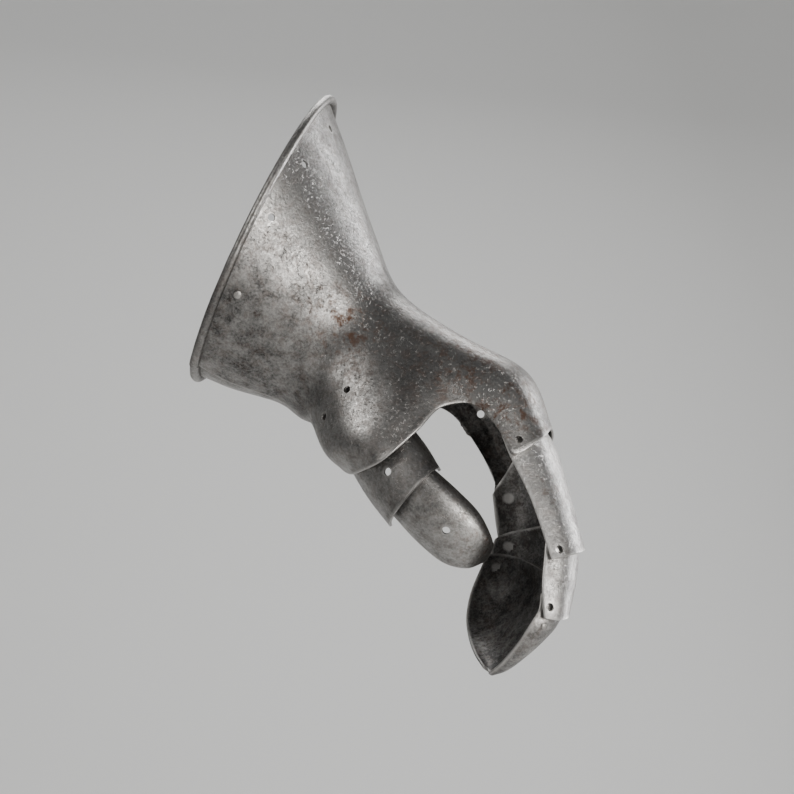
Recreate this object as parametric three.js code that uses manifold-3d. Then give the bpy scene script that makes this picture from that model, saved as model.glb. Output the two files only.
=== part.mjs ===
// Left-hand mitten gauntlet in sheet steel, millimetres, +Z up, the thumb side towards -Y.
// The origin is the middle of the cuff's mouth. The forearm runs from there down towards +X and -Z,
// the fingers hang from the knuckles and curl back under the hand.
import * as THREE from "three";
import { mergeVertices } from "three/addons/utils/BufferGeometryUtils.js";
import Module from "manifold-3d";

const wasm = await Module();
wasm.setup();

// ---- Driving dimensions -------------------------------------------------------------------------
const SHEET = 1.4; // thickness of every plate
const ROLL_RADIUS = 2.4; // outside radius of the rolled rim of the cuff
const ROLL_SIDES = 9;
const ROLL_SLOPE = 0.05; // share of the first span that gives the cuff's slope at its mouth
const HOLE_RADIUS = 1.9; // the round holes, most of which have lost their rivets
const RIVET_STAND = 0.35; // how far a rivet's head stands out of the plate
const RIVET_TAIL = 0.5; // how far its tail stands into the hollow
const FIT = 0.3; // gap between a rivet and its hole
const DRILL_SIDES = 12;
const DRILL_DEPTH = 4; // half length of the tool that makes a hole

// Rings of the cuff, from mouth to wrist. Each is an ellipse that stands across the forearm:
// the place of its back and palm ends in X and Z, half its width in Y, and how far the thumb's side
// of the ring leans towards the hand.
const CUFF_RINGS = [
  { name: "mouth", backX: 34.8, backZ: 68, palmX: -31.5, palmZ: -74, half: 67, lean: 1.5 },
  { name: "flare", backX: 44, backZ: 42, palmX: -16.5, palmZ: -81, half: 58.5, lean: 1 },
  { name: "taper", backX: 53.2, backZ: 13, palmX: 0, palmZ: -86, half: 49.5, lean: 0.5 },
  { name: "neck", backX: 62, backZ: -12, palmX: 12.5, palmZ: -90.6, half: 42.5, lean: 0 },
  { name: "wrist", backX: 70.3, backZ: -33, palmX: 22.5, palmZ: -99, half: 39, lean: 0 },
];

// Meridians of the hand, a row for each line that runs on from the wrist to the plate's edge.
// at: its angle round the wrist, 0 at the back of the hand, 90 at the little finger's side,
// 180 in the palm and 270 at the thumb's side. mid and knee: points that it passes.
// end: its point on the plate's edge.
const HAND_MERIDIANS = [
  { at: 0, mid: [109, 0, -62], knee: [137, 0, -78], end: [147, 0, -109] }, // middle knuckle
  { at: 28, mid: [105, 29, -66.5], knee: [132, 32, -82], end: [143, 31, -112] },
  { at: 50, mid: [104, 40, -68], knee: [123, 47, -92], end: [137, 46.5, -121] },
  { at: 66, mid: [102.8, 41.1, -69.9], knee: [119.4, 47.3, -95.6], end: [127, 50, -133] }, // outer corner
  { at: 80, mid: [101.7, 42, -71.6], knee: [116.1, 47, -94.7], end: [124, 49.5, -121] },
  { at: 96, mid: [100.7, 42.8, -73.2], knee: [111.6, 46.2, -90.8], end: [119, 48.2, -108.5] },
  { at: 112, mid: [99.6, 43.5, -74.8], knee: [104.7, 45, -83.5], end: [110, 46.3, -92.5] },
  { at: 128, mid: [84, 42, -77.3], knee: [91.5, 43.2, -77], end: [98.5, 44, -76.5] },
  { at: 142, mid: [66, 36.5, -82.8], knee: [74, 39, -81], end: [82, 41, -79] },
  { at: 158, mid: [48, 23, -93], knee: [54, 25.5, -91.5], end: [60, 27, -90] }, // heel of the hand
  { at: 180, mid: [32, 5, -104], knee: [35, 5, -105.5], end: [38, 5, -107] },
  { at: 198, mid: [28.5, -10, -109.5], knee: [32.5, -9, -117], end: [39, -7, -123.5] },
  { at: 213, mid: [30.5, -20, -115], knee: [34.5, -19, -125], end: [44, -15, -131.5] }, // thumb cover
  { at: 228, mid: [36.5, -34, -115], knee: [40.6, -37, -126], end: [50.5, -36, -136] },
  { at: 243, mid: [45, -43, -110], knee: [50.5, -48, -122.5], end: [59, -49.5, -134.5] },
  { at: 262, mid: [60, -48, -98.5], knee: [67, -51.4, -109.4], end: [75.5, -52, -120.5] }, // its end
  { at: 274, mid: [73, -47.5, -92], knee: [80, -48.7, -99.3], end: [88, -48, -107] },
  { at: 284, mid: [83, -47, -89.5], knee: [93, -47, -97], end: [103, -46.5, -105] }, // arch
  { at: 296, mid: [90, -46.5, -85], knee: [102.8, -48.2, -100.5], end: [115, -48, -117] },
  { at: 307, mid: [95, -45.5, -79.5], knee: [109.6, -49.5, -103], end: [122.5, -50, -130] }, // inner corner
  { at: 321, mid: [100.5, -41, -73.5], knee: [122.5, -47.5, -93], end: [137, -46.5, -120.5] },
  { at: 335, mid: [104, -31, -67.5], knee: [132, -32, -82.5], end: [143, -31.5, -112] },
];
const COLUMNS_PER_MERIDIAN = 3;
const ROWS_PER_CUFF_RING = 1;
const ROWS_TO_MID = 3;
const ROWS_PER_HAND_SPAN = 3;

// Hoops of the open plates, a row for each arch that the plate is raised over. Each arch runs from
// one free edge over its crown to the other free edge. Fingers: near is the index finger's side.
const FINGER_LAME_1 = [
  { near: [116.5, -46, -116.5], crown: [133, 0, -101.5], far: [121.3, 46, -123.5] },
  { near: [121, -46.3, -129], crown: [145, 0, -112], far: [122, 46.2, -129] },
  { near: [130.5, -46.6, -149.5], crown: [152.6, 0, -139], far: [123, 46, -139] },
  { near: [140.5, -46.4, -181], crown: [156.8, 0, -163.5], far: [125.5, 45, -157] },
];
const FINGER_LAME_2 = [
  { near: [138.6, -43.6, -169], crown: [147, 0, -151.5], far: [122.2, 42.6, -148.5] },
  { near: [137.4, -43.3, -180], crown: [153, 0, -160], far: [120.6, 42.3, -153.5] },
  { near: [136.3, -42.7, -193], crown: [152.4, 0, -175], far: [118.8, 41.5, -161] },
  { near: [137, -41.2, -208.5], crown: [146.4, 0, -192], far: [116, 40, -171] },
];
const FINGER_TIP = [
  { near: [136, -38.8, -196], crown: [143.2, 0, -175.5], far: [117.5, 37.8, -158.5] },
  { near: [135, -38.6, -203.5], crown: [145.2, 0, -183.5], far: [114.5, 37.6, -165] },
  { near: [130.6, -37.6, -211], crown: [141.5, 0, -197], far: [109.2, 37, -178] },
  { near: [126, -33, -218], crown: [134.4, 0, -207.5], far: [106.4, 32.8, -192] },
  { near: [121.3, -25.5, -223.4], crown: [127.2, 0, -216.5], far: [106.8, 25.5, -204.4] },
  { near: [116.8, -15, -227], crown: [120.3, 0, -223.6], far: [108.6, 15.5, -214.6] },
  { near: [113.6, -4.5, -227.9], crown: [114.8, 0, -227], far: [111.6, 4.5, -223.4] },
];
const THUMB_LAME = [
  { near: [43.8, -13, -125], crown: [58.3, -45, -122.5], far: [75.3, -29, -112.5] },
  { near: [54.7, -14, -144], crown: [66.2, -47.3, -136.5], far: [83, -29, -122.8] },
  { near: [65.2, -15, -158.2], crown: [74, -49.2, -149.5], far: [89.2, -29.5, -133.4] },
];
const THUMB_TIP = [
  { near: [64.7, -17, -150.7], crown: [74, -45.9, -142.5], far: [82, -28.5, -131] },
  { near: [79.3, -17, -167], crown: [87.7, -44.8, -157.2], far: [97.8, -28.5, -144.9] },
  { near: [92, -17, -176.8], crown: [100, -40.5, -167], far: [107.4, -28, -155.2] },
  { near: [103, -18, -179], crown: [108.5, -33, -173], far: [112.3, -27.5, -164] },
  { near: [110, -20, -176.5], crown: [113.2, -24, -173], far: [114.2, -25.5, -168.5] },
];
const ARCH_FULLNESS = 2.5; // 2 is an ellipse, more is squarer over the shoulders
const HOOP_COLUMNS = 18;
const ROWS_PER_HOOP = 3;

// Holes, placed on a plate's own surface. Along the hand u counts meridians round the wrist and v
// counts spans from the mouth; on an open plate u is -1 at the near edge and 1 at the far edge.
const LINING_HOLES = [
  { u: 20.2, v: 0.52 },
  { u: 17.7, v: 0.54 },
  { u: 15.2, v: 0.47 },
  { u: 1.4, v: 0.52 },
  { u: 3.1, v: 0.54 },
  { u: 5, v: 0.5 },
  { u: 7, v: 0.5 },
];
const HAND_HOLES = [
  { u: 14.15, v: 4.58 },
  { u: 12.63, v: 4.63 },
  { u: 2.23, v: 5.55 },
];
const THUMB_LAME_HOLE = { u: -0.12, v: 0.99 };
const THUMB_TIP_HOLE = { u: -0.19, v: 1.48 };

// Rivets that are still in place, each alone in its hole.
const CUFF_RIVET = { u: 13.27, v: 0.53, radius: 2 };
const SEAM_RIVET = { u: 10.97, v: 0.45, radius: 1.2 };
const TIP_RIVET = { u: -0.86, v: 2, radius: 1.3 };

// The lines that the finger plates turn about, through a hole at each side of the hand.
const KNUCKLE_PIVOT = { near: [125, -49.7, -123.5], far: [129.3, 49.3, -126.5] };
const MIDDLE_PIVOT = { near: [143.9, -46.2, -176.4], far: [127.5, 45.3, -151.7] };
const LAST_PIVOT = { near: [139.3, -41.5, -203.3], far: [120.6, 41.2, -162.7] };

// ---- Sheet metal --------------------------------------------------------------------------------

// The way from a plate's outer face into the metal, at column j of row i. The rows run the same way
// round; with closed, a row's last point joins its first.
function inward(rows, i, j, closed) {
  const count = rows[0].length;
  const column = (k) => (closed ? (k + count) % count : Math.min(Math.max(k, 0), count - 1));
  const row = (k) => Math.min(Math.max(k, 0), rows.length - 1);
  const along = rows[row(i + 1)][j].clone().sub(rows[row(i - 1)][j]);
  const across = rows[i][column(j + 1)].clone().sub(rows[i][column(j - 1)]);
  return across.cross(along).normalize();
}

const innerFace = (rows, closed) =>
  rows.map((row, i) => row.map((p, j) => p.clone().addScaledVector(inward(rows, i, j, closed), SHEET)));

// A solid from sections, each a closed ring of points in the same order. With closed, the last
// section joins the first; otherwise the two end sections are capped as strips of sheet.
function solidFromSections(sections, closed) {
  const size = sections[0].length;
  const positions = sections.flat().flatMap((p) => [p.x, p.y, p.z]);
  const faces = [];
  const quad = (a, b, c, d) => faces.push(a, b, c, a, c, d);
  const at = (i, k) => (i % sections.length) * size + (k % size);
  for (let i = 0; i < (closed ? sections.length : sections.length - 1); i++) {
    for (let k = 0; k < size; k++) quad(at(i, k), at(i, k + 1), at(i + 1, k + 1), at(i + 1, k));
  }
  if (!closed) {
    const last = sections.length - 1;
    for (let k = 0; k < size / 2 - 1; k++) {
      quad(at(0, size - 1 - k), at(0, size - 2 - k), at(0, k + 1), at(0, k));
      quad(at(last, k), at(last, k + 1), at(last, size - 2 - k), at(last, size - 1 - k));
    }
  }
  return solidFrom(positions, faces);
}

function solidFrom(positions, faces) {
  return new wasm.Manifold(
    new wasm.Mesh({
      numProp: 3,
      vertProperties: new Float32Array(positions),
      triVerts: new Uint32Array(faces),
    }),
  );
}

function solidOf(geometry) {
  geometry.deleteAttribute("normal");
  geometry.deleteAttribute("uv");
  const merged = mergeVertices(geometry, 1e-4);
  return solidFrom(merged.attributes.position.array, merged.index.array);
}

// A round tool or pin on the face of a plate: spot holds the point and the way out of the metal.
function roundBar(spot, radius, from, to) {
  const bar = new THREE.CylinderGeometry(radius, radius, to - from, DRILL_SIDES);
  bar.translate(0, (from + to) / 2, 0);
  bar.applyQuaternion(new THREE.Quaternion().setFromUnitVectors(new THREE.Vector3(0, 1, 0), spot.out));
  bar.translate(spot.point.x, spot.point.y, spot.point.z);
  return solidOf(bar);
}

const drill = (plate, spot, radius) => plate.subtract(roundBar(spot, radius, -DRILL_DEPTH, DRILL_DEPTH));

const drillAll = (plate, surface, holes) =>
  holes.reduce((left, hole) => drill(left, spotOn(surface, hole.u, hole.v), HOLE_RADIUS), plate);

function drillPivot(plate, pivot) {
  const near = vector(pivot.near);
  const far = vector(pivot.far);
  const out = far.clone().sub(near).normalize();
  return drill(drill(plate, { point: near, out }, HOLE_RADIUS), { point: far, out }, HOLE_RADIUS);
}

// The point on a surface function and the way out of it.
function spotOn(surface, u, v) {
  const step = 1e-3;
  const point = surface(u, v);
  const across = surface(u + step, v).sub(surface(u - step, v));
  const along = surface(u, v + step).sub(surface(u, v - step));
  return { point, out: along.cross(across).normalize() };
}

// ---- Cuff and hand ------------------------------------------------------------------------------

const vector = (list) => new THREE.Vector3(...list);

function ringPoint(ring, degrees) {
  const angle = THREE.MathUtils.degToRad(degrees);
  const rise = Math.cos(angle);
  return new THREE.Vector3(
    (ring.backX + ring.palmX) / 2 + ((ring.backX - ring.palmX) / 2) * rise - ring.lean * Math.sin(angle),
    ring.half * Math.sin(angle),
    (ring.backZ + ring.palmZ) / 2 + ((ring.backZ - ring.palmZ) / 2) * rise,
  );
}

const loopThrough = (points) => new THREE.CatmullRomCurve3(points.map(vector), true, "centripetal");
const midCurve = loopThrough(HAND_MERIDIANS.map((row) => row.mid));
const kneeCurve = loopThrough(HAND_MERIDIANS.map((row) => row.knee));
const endCurve = loopThrough(HAND_MERIDIANS.map((row) => row.end));

// Where a meridian's number (0 to the count of rows, with parts between) leaves the wrist.
function wristAngle(u) {
  const count = HAND_MERIDIANS.length;
  const at = (i) => HAND_MERIDIANS[((i % count) + count) % count].at + 360 * Math.floor(i / count);
  const i = Math.floor(u);
  return THREE.MathUtils.lerp(at(i), at(i + 1), u - i);
}

// One meridian from the mouth of the cuff to the edge of the hand, through 8 points.
function meridian(u) {
  const share = (((u / HAND_MERIDIANS.length) % 1) + 1) % 1;
  const mid = midCurve.getPoint(share);
  const end = endCurve.getPoint(share);
  const knee = kneeCurve.getPoint(share);
  const rings = CUFF_RINGS.map((ring) => ringPoint(ring, wristAngle(u)));
  return new THREE.CatmullRomCurve3([...rings, mid, knee, end], false, "centripetal");
}

const MERIDIAN_SPANS = CUFF_RINGS.length + 2;
const handSurface = (u, v) => meridian(u).getPoint(v / MERIDIAN_SPANS);

function handStations() {
  const spans = [];
  for (let i = 0; i < MERIDIAN_SPANS; i++) {
    const cuff = i < CUFF_RINGS.length - 1;
    const past = i === CUFF_RINGS.length - 1 ? ROWS_TO_MID : ROWS_PER_HAND_SPAN;
    const steps = cuff ? ROWS_PER_CUFF_RING : past;
    for (let k = 0; k < steps; k++) spans.push(i + k / steps);
  }
  return [...spans, MERIDIAN_SPANS];
}

// The rolled rim in one section: from the inner face, round the mouth and back onto the outer face.
function rollArc(lip, back, out) {
  const middle = lip.clone().addScaledVector(out, ROLL_RADIUS - SHEET);
  const landing = Math.PI + Math.asin((ROLL_RADIUS - SHEET) / ROLL_RADIUS);
  const start = -Math.PI / 2;
  return Array.from({ length: ROLL_SIDES + 1 }, (_, k) => {
    const turn = start + ((landing - start) * k) / ROLL_SIDES;
    return middle
      .clone()
      .addScaledVector(back, ROLL_RADIUS * Math.cos(turn))
      .addScaledVector(out, ROLL_RADIUS * Math.sin(turn));
  });
}

function handShell() {
  const columns = HAND_MERIDIANS.length * COLUMNS_PER_MERIDIAN;
  const curves = Array.from({ length: columns }, (_, j) => meridian(j / COLUMNS_PER_MERIDIAN));
  const outer = handStations().map((v) => curves.map((curve) => curve.getPoint(v / MERIDIAN_SPANS)));
  const inner = innerFace(outer, true);
  const sections = curves.map((curve, j) => {
    const back = outer[0][j].clone().sub(curve.getPoint(ROLL_SLOPE / MERIDIAN_SPANS)).normalize();
    const arc = rollArc(outer[0][j], back, inward(outer, 0, j, true).negate());
    const outside = outer.slice(1).map((row) => row[j]);
    const inside = inner.slice(1).map((row) => row[j]);
    return [...arc, ...outside, ...inside.reverse()];
  });
  return solidFromSections(sections, true);
}

// ---- Open plates --------------------------------------------------------------------------------

// A point of an arch, with u from -1 at its near edge to 1 at its far edge.
function archPoint(hoop, u) {
  const near = vector(hoop.near);
  const far = vector(hoop.far);
  const middle = near.clone().add(far).multiplyScalar(0.5);
  const side = far.sub(near).multiplyScalar(0.5);
  const rise = vector(hoop.crown).sub(middle);
  const turn = (u * Math.PI) / 2;
  const power = 2 / ARCH_FULLNESS;
  return middle
    .addScaledVector(side, Math.sign(u) * Math.abs(Math.sin(turn)) ** power)
    .addScaledVector(rise, Math.max(Math.cos(turn), 0) ** power);
}

const hoopSurface = (hoops) => (u, v) => {
  const inside = Math.min(Math.max(u, -1), 1);
  const line = new THREE.CatmullRomCurve3(hoops.map((hoop) => archPoint(hoop, inside)), false, "centripetal");
  return line.getPoint(v / (hoops.length - 1));
};

function openPlate(hoops) {
  const surface = hoopSurface(hoops);
  const steps = (hoops.length - 1) * ROWS_PER_HOOP;
  const outer = Array.from({ length: steps + 1 }, (_, i) =>
    Array.from({ length: HOOP_COLUMNS + 1 }, (_, j) =>
      surface((2 * j) / HOOP_COLUMNS - 1, i / ROWS_PER_HOOP),
    ),
  );
  const inner = innerFace(outer, false);
  return solidFromSections(
    outer.map((row, i) => [...inner[i], ...row.reverse()]),
    false,
  );
}

// ---- The assembly -------------------------------------------------------------------------------

const steel = { roughness: 0.42, metalness: 1 };
const gauntlet = new THREE.Group();

function addPiece(name, solid, colour) {
  const mesh = solid.getMesh();
  const geometry = new THREE.BufferGeometry();
  geometry.setAttribute("position", new THREE.BufferAttribute(mesh.vertProperties, 3));
  geometry.setIndex(new THREE.BufferAttribute(mesh.triVerts, 1));
  const piece = new THREE.Mesh(geometry, new THREE.MeshStandardMaterial({ color: colour, ...steel }));
  piece.name = name;
  gauntlet.add(piece);
}

function handPlate() {
  let plate = drillAll(handShell(), handSurface, [...LINING_HOLES, ...HAND_HOLES]);
  for (const rivet of [CUFF_RIVET, SEAM_RIVET]) {
    plate = drill(plate, spotOn(handSurface, rivet.u, rivet.v), rivet.radius + FIT);
  }
  return drillPivot(plate, KNUCKLE_PIVOT);
}

function fingerTipPlate() {
  const spot = spotOn(hoopSurface(FINGER_TIP), TIP_RIVET.u, TIP_RIVET.v);
  return drillPivot(drill(openPlate(FINGER_TIP), spot, TIP_RIVET.radius + FIT), LAST_PIVOT);
}

function rivet(surface, place) {
  return roundBar(spotOn(surface, place.u, place.v), place.radius, -SHEET - RIVET_TAIL, RIVET_STAND);
}

function fingerLame1() {
  return drillPivot(drillPivot(openPlate(FINGER_LAME_1), KNUCKLE_PIVOT), MIDDLE_PIVOT);
}

function fingerLame2() {
  return drillPivot(drillPivot(openPlate(FINGER_LAME_2), MIDDLE_PIVOT), LAST_PIVOT);
}

const thumbPlate = (hoops, hole) => drillAll(openPlate(hoops), hoopSurface(hoops), [hole]);

addPiece("hand_plate", handPlate(), 0x6f6c68);
addPiece("cuff_rivet", rivet(handSurface, CUFF_RIVET), 0x85827c);
addPiece("seam_rivet", rivet(handSurface, SEAM_RIVET), 0x85827c);
addPiece("finger_lame_1", fingerLame1(), 0x8a8781);
addPiece("finger_lame_2", fingerLame2(), 0x76716a);
addPiece("finger_tip_plate", fingerTipPlate(), 0x5a5856);
addPiece("tip_rivet", rivet(hoopSurface(FINGER_TIP), TIP_RIVET), 0x6b6864);
addPiece("thumb_lame", thumbPlate(THUMB_LAME, THUMB_LAME_HOLE), 0x6b6864);
addPiece("thumb_tip_plate", thumbPlate(THUMB_TIP, THUMB_TIP_HOLE), 0x6b6864);

export default gauntlet;
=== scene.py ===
# %% [markdown]
# # A steel mitten gauntlet
#
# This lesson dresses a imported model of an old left-hand gauntlet. The model came first: it says
# where every plate is, how thick it is and how the finger plates turn. Here each plate is made
# again as a finer mesh in the same place, and then gets the finish of worn, pitted steel.

# %% Load the frame
import math

import bmesh
import bpy
import numpy as np
from mathutils import Matrix, Vector, noise
from mathutils.kdtree import KDTree


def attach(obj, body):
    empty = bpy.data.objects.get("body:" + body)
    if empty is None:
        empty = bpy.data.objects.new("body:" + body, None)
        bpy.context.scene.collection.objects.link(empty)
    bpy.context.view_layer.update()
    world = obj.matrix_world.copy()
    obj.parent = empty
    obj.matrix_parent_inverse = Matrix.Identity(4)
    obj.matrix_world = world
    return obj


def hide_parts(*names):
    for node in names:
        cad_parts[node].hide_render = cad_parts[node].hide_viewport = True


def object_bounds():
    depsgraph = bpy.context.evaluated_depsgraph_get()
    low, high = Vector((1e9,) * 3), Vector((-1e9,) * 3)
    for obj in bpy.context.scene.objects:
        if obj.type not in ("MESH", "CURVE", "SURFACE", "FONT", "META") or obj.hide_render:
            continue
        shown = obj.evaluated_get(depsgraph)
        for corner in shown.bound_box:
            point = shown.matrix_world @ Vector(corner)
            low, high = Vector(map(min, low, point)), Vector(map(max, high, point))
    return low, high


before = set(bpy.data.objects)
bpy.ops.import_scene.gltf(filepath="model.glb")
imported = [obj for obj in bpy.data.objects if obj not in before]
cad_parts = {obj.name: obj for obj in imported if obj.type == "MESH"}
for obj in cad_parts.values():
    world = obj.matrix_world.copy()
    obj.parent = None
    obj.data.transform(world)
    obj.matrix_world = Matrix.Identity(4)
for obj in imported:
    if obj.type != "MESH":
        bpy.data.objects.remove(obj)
cad_low, cad_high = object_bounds()
MM = 0.001  # the tables below are in millimetres, and Blender works in metres
print("size in mm:", [round((b - a) / MM) for a, b in zip(cad_low, cad_high)])

# %% [markdown]
# The camera stands a little below the thumb's side of the hand and looks slightly up into the
# palm. A long lens far away keeps the plates from looking stretched. Everything is placed from
# the middle of the model's own box.

# %% Camera
CAMERA_AZIMUTH = -3.0  # degrees round the object, where 0 looks along +Y
CAMERA_ELEVATION = -18.0  # degrees above the horizon
CAMERA_DISTANCE = 1.2
FRAME_WIDTH = 0.397  # how much of the object's plane the picture spans
SENSOR_WIDTH = 36.0
AIM_OFFSET = Vector((7.1, 0, -8.2)) * MM  # from the middle of the box to the point looked at


def aim_point():
    """The middle of the box in X and Z, in the plane of the forearm."""
    middle = (cad_low + cad_high) / 2
    return Vector((middle.x, 0, middle.z)) + AIM_OFFSET


def direction(azimuth, elevation):
    """The way a camera at that azimuth and elevation looks."""
    a, e = math.radians(azimuth), math.radians(elevation)
    return Vector((-math.sin(a) * math.cos(e), math.cos(a) * math.cos(e), -math.sin(e)))


look = direction(CAMERA_AZIMUTH, CAMERA_ELEVATION)
camera = bpy.data.objects.new("camera", bpy.data.cameras.new("camera"))
camera.data.sensor_width = SENSOR_WIDTH
camera.data.lens = SENSOR_WIDTH * CAMERA_DISTANCE / FRAME_WIDTH
camera.location = aim_point() - look * CAMERA_DISTANCE
camera.rotation_euler = look.to_track_quat("-Z", "Y").to_euler()
bpy.context.scene.collection.objects.link(camera)
bpy.context.scene.camera = camera
print("lens in mm:", round(camera.data.lens, 1))

# %% [markdown]
# Plates of armour were raised from one flat sheet. In code they come out of a few smooth lines:
# a line is drawn through a row of points, many such lines side by side make the outer face, and
# the inner face lies one sheet's thickness behind it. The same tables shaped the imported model.

# %% The gauntlet's own sizes
SHEET = 1.4  # thickness of every plate
ROLL_RADIUS = 2.4  # of the rolled rim
HOLE_RADIUS = 1.9
CUFF_RINGS = [  # back X, back Z, palm X, palm Z, half width, lean of the thumb's side
    (34.8, 68, -31.5, -74, 67, 1.5),  # mouth
    (44, 42, -16.5, -81, 58.5, 1),  # flare
    (53.2, 13, 0, -86, 49.5, 0.5),  # taper
    (62, -12, 12.5, -90.6, 42.5, 0),  # neck
    (70.3, -33, 22.5, -99, 39, 0),  # wrist
]
HAND_MERIDIANS = [  # angle round the wrist, then the points mid, knee and end
    (0, (109, 0, -62), (137, 0, -78), (147, 0, -109)),
    (28, (105, 29, -66.5), (132, 32, -82), (143, 31, -112)),
    (50, (104, 40, -68), (123, 47, -92), (137, 46.5, -121)),
    (66, (102.8, 41.1, -69.9), (119.4, 47.3, -95.6), (127, 50, -133)),
    (80, (101.7, 42, -71.6), (116.1, 47, -94.7), (124, 49.5, -121)),
    (96, (100.7, 42.8, -73.2), (111.6, 46.2, -90.8), (119, 48.2, -108.5)),
    (112, (99.6, 43.5, -74.8), (104.7, 45, -83.5), (110, 46.3, -92.5)),
    (128, (84, 42, -77.3), (91.5, 43.2, -77), (98.5, 44, -76.5)),
    (142, (66, 36.5, -82.8), (74, 39, -81), (82, 41, -79)),
    (158, (48, 23, -93), (54, 25.5, -91.5), (60, 27, -90)),
    (180, (32, 5, -104), (35, 5, -105.5), (38, 5, -107)),
    (198, (28.5, -10, -109.5), (32.5, -9, -117), (39, -7, -123.5)),
    (213, (30.5, -20, -115), (34.5, -19, -125), (44, -15, -131.5)),
    (228, (36.5, -34, -115), (40.6, -37, -126), (50.5, -36, -136)),
    (243, (45, -43, -110), (50.5, -48, -122.5), (59, -49.5, -134.5)),
    (262, (60, -48, -98.5), (67, -51.4, -109.4), (75.5, -52, -120.5)),
    (274, (73, -47.5, -92), (80, -48.7, -99.3), (88, -48, -107)),
    (284, (83, -47, -89.5), (93, -47, -97), (103, -46.5, -105)),
    (296, (90, -46.5, -85), (102.8, -48.2, -100.5), (115, -48, -117)),
    (307, (95, -45.5, -79.5), (109.6, -49.5, -103), (122.5, -50, -130)),
    (321, (100.5, -41, -73.5), (122.5, -47.5, -93), (137, -46.5, -120.5)),
    (335, (104, -31, -67.5), (132, -32, -82.5), (143, -31.5, -112)),
]
HOOPS = {  # each arch of a plate: its near edge, its crown and its far edge
    "finger_lame_1": [
        ((116.5, -46, -116.5), (133, 0, -101.5), (121.3, 46, -123.5)),
        ((121, -46.3, -129), (145, 0, -112), (122, 46.2, -129)),
        ((130.5, -46.6, -149.5), (152.6, 0, -139), (123, 46, -139)),
        ((140.5, -46.4, -181), (156.8, 0, -163.5), (125.5, 45, -157)),
    ],
    "finger_lame_2": [
        ((138.6, -43.6, -169), (147, 0, -151.5), (122.2, 42.6, -148.5)),
        ((137.4, -43.3, -180), (153, 0, -160), (120.6, 42.3, -153.5)),
        ((136.3, -42.7, -193), (152.4, 0, -175), (118.8, 41.5, -161)),
        ((137, -41.2, -208.5), (146.4, 0, -192), (116, 40, -171)),
    ],
    "finger_tip_plate": [
        ((136, -38.8, -196), (143.2, 0, -175.5), (117.5, 37.8, -158.5)),
        ((135, -38.6, -203.5), (145.2, 0, -183.5), (114.5, 37.6, -165)),
        ((130.6, -37.6, -211), (141.5, 0, -197), (109.2, 37, -178)),
        ((126, -33, -218), (134.4, 0, -207.5), (106.4, 32.8, -192)),
        ((121.3, -25.5, -223.4), (127.2, 0, -216.5), (106.8, 25.5, -204.4)),
        ((116.8, -15, -227), (120.3, 0, -223.6), (108.6, 15.5, -214.6)),
        ((113.6, -4.5, -227.9), (114.8, 0, -227), (111.6, 4.5, -223.4)),
    ],
    "thumb_lame": [
        ((43.8, -13, -125), (58.3, -45, -122.5), (75.3, -29, -112.5)),
        ((54.7, -14, -144), (66.2, -47.3, -136.5), (83, -29, -122.8)),
        ((65.2, -15, -158.2), (74, -49.2, -149.5), (89.2, -29.5, -133.4)),
    ],
    "thumb_tip_plate": [
        ((64.7, -17, -150.7), (74, -45.9, -142.5), (82, -28.5, -131)),
        ((79.3, -17, -167), (87.7, -44.8, -157.2), (97.8, -28.5, -144.9)),
        ((92, -17, -176.8), (100, -40.5, -167), (107.4, -28, -155.2)),
        ((103, -18, -179), (108.5, -33, -173), (112.3, -27.5, -164)),
        ((110, -20, -176.5), (113.2, -24, -173), (114.2, -25.5, -168.5)),
    ],
}
ARCH_FULLNESS = 2.5
print("meridians of the hand:", len(HAND_MERIDIANS), "- open plates:", len(HOOPS))


# %% [markdown]
# A smooth line through given points is called a spline. The one below keeps its corners tight
# by spacing its steps with the square root of the distance between points, so it never loops.
# It works on many lines at once, because numpy handles a whole row of points in one go.

# %% Smooth lines
def spline(points, t, closed=False):
    """Points (n, ..., 3) to one point of the curve at t, counted in points from the first."""
    points = np.asarray(points, float)
    count = len(points)
    i = int(math.floor(t))
    if not closed:
        i = min(max(i, 0), count - 2)
    w = t - i

    def pick(k):
        if closed:
            return points[k % count]
        if k < 0:
            return 2 * points[0] - points[1]
        return points[k] if k < count else 2 * points[-1] - points[-2]

    p0, p1, p2, p3 = (pick(i + k) for k in (-1, 0, 1, 2))
    gap = [np.linalg.norm(b - a, axis=-1, keepdims=True) ** 0.5 for a, b in ((p0, p1), (p1, p2), (p2, p3))]
    d0, d1, d2 = (np.maximum(g, 1e-4) for g in gap)
    m1 = ((p1 - p0) / d0 - (p2 - p0) / (d0 + d1) + (p2 - p1) / d1) * d1
    m2 = ((p2 - p1) / d1 - (p3 - p1) / (d1 + d2) + (p3 - p2) / d2) * d1
    a = 2 * p1 - 2 * p2 + m1 + m2
    b = -3 * p1 + 3 * p2 - 2 * m1 - m2
    return ((a * w + b) * w + m1) * w + p1


def smooth_grid(rows, times, closed):
    """Evens out the curvature of a grid of points by averaging neighbours, its two ends held."""
    for _ in range(times):
        fresh = rows.copy()
        fresh[1:-1] = 0.5 * rows[1:-1] + 0.25 * (rows[:-2] + rows[2:])
        if closed:
            fresh = 0.5 * fresh + 0.25 * (np.roll(fresh, 1, 1) + np.roll(fresh, -1, 1))
            fresh[0], fresh[-1] = rows[0], rows[-1]
        else:
            fresh[:, 1:-1] = 0.5 * fresh[:, 1:-1] + 0.25 * (fresh[:, :-2] + fresh[:, 2:])
            fresh[0], fresh[-1] = rows[0], rows[-1]
        rows = fresh
    return rows


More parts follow.
